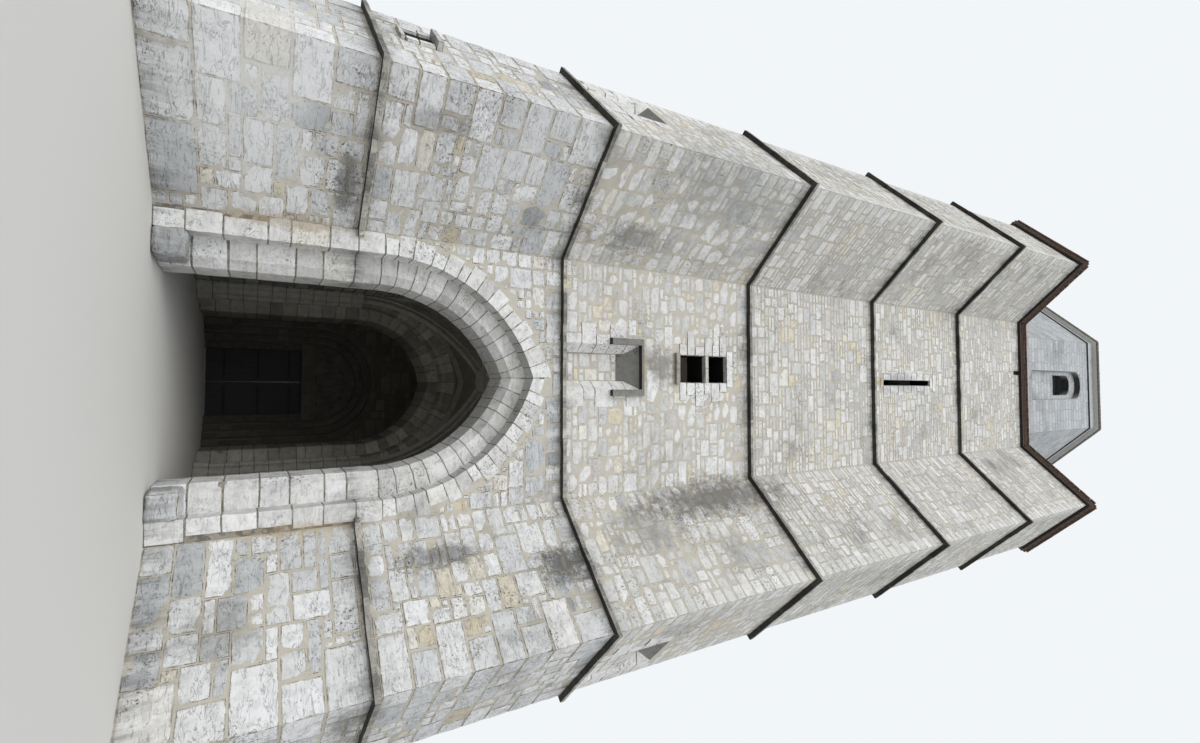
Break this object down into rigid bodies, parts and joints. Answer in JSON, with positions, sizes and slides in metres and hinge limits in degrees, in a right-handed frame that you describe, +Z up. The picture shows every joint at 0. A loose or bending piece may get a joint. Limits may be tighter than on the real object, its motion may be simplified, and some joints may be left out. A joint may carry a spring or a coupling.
{
  "type": "fortified church porch tower",
  "caption": "Fortified limestone porch tower on a star-shaped plan, with string courses, a vaulted porch with a pointed arch, a round-headed portal with double doors, and an octagonal belfry.",
  "frame": {"origin": "middle of the tower's base, on the ground", "axes": "+Z up, front with the porch arch towards -Y, +X to the right when facing the front"},
  "size_m": [12.5308, 12.5308, 36.77],
  "materials": {
    "ashlar_limestone": "large sawn blocks, weathered, lime joints",
    "rubble_limestone": "coursed rubble with lime joints",
    "dressed_limestone": "dressed voussoirs, fine joints",
    "string_limestone": "weathered grey, lichen",
    "porch_limestone": "sheltered, dusty",
    "belfry_limestone": "smooth coursed blocks",
    "roof_tile": "flat brown clay tiles",
    "floor_oak": "sawn boards",
    "wrought_iron": "black forged iron",
    "door_paint": "dark blue-black painted boards"
  },
  "bodies": {
    "tower": {"ground_buttresses": "ashlar_limestone", "ground_side_walls": "ashlar_limestone", "string_1": "string_limestone", "porch_buttresses": "rubble_limestone", "porch_side_walls": "rubble_limestone", "front_arch_jambs": "dressed_limestone", "guard_stones": "string_limestone", "front_arch_outer_order": "dressed_limestone", "front_arch_inner_order": "dressed_limestone", "front_spandrel": "rubble_limestone", "vault_shafts": "porch_limestone", "vault_ribs": "porch_limestone", "vault_keystone": "porch_limestone", "vault_web": "porch_limestone", "rear_arch_piers": "porch_limestone", "rear_arch_outer_order": "porch_limestone", "rear_arch_inner_order": "porch_limestone", "rear_spandrel": "porch_limestone", "portal_wall": "porch_limestone", "portal_outer_order": "porch_limestone", "portal_middle_order": "porch_limestone", "portal_inner_order": "porch_limestone", "portal_jambs": "porch_limestone", "portal_lintel": "porch_limestone", "portal_tympanum": "porch_limestone", "door_pintles": "wrought_iron", "string_2": "string_limestone", "upper_floor": "porch_limestone", "stage_2_buttresses": "rubble_limestone", "stage_2_front_wall": "rubble_limestone", "stage_2_other_walls": "rubble_limestone", "window_sill": "rubble_limestone", "niche_hood": "rubble_limestone", "string_3": "string_limestone", "stage_3_buttresses": "rubble_limestone", "stage_3_walls": "rubble_limestone", "string_4": "string_limestone", "stage_4_buttresses": "rubble_limestone", "stage_4_front_wall": "rubble_limestone", "stage_4_other_walls": "rubble_limestone", "string_5": "string_limestone", "stage_5_buttresses": "rubble_limestone", "stage_5_walls": "rubble_limestone", "eaves_course": "roof_tile", "skirt_roof": "roof_tile", "belfry_floor": "floor_oak", "belfry_front_wall": "belfry_limestone", "belfry_back_wall": "belfry_limestone", "belfry_side_walls": "belfry_limestone", "belfry_corner_walls": "belfry_limestone", "belfry_cornice": "belfry_limestone", "belfry_roof": "roof_tile"},
    "left_door": {"left_door_leaf": "door_paint"},
    "right_door": {"right_door_leaf": "door_paint"}
  },
  "joints": [
    {"name": "left_door_swing", "type": "hinge", "parent": "tower", "child": "left_door", "pos_m": [-0.992, 5.041, 1.239], "axis": [0, 0, 1], "range_deg": [0, 90]},
    {"name": "right_door_swing", "type": "hinge", "parent": "tower", "child": "right_door", "pos_m": [0.992, 5.041, 1.239], "axis": [0, 0, -1], "range_deg": [0, 90]}
  ]
}
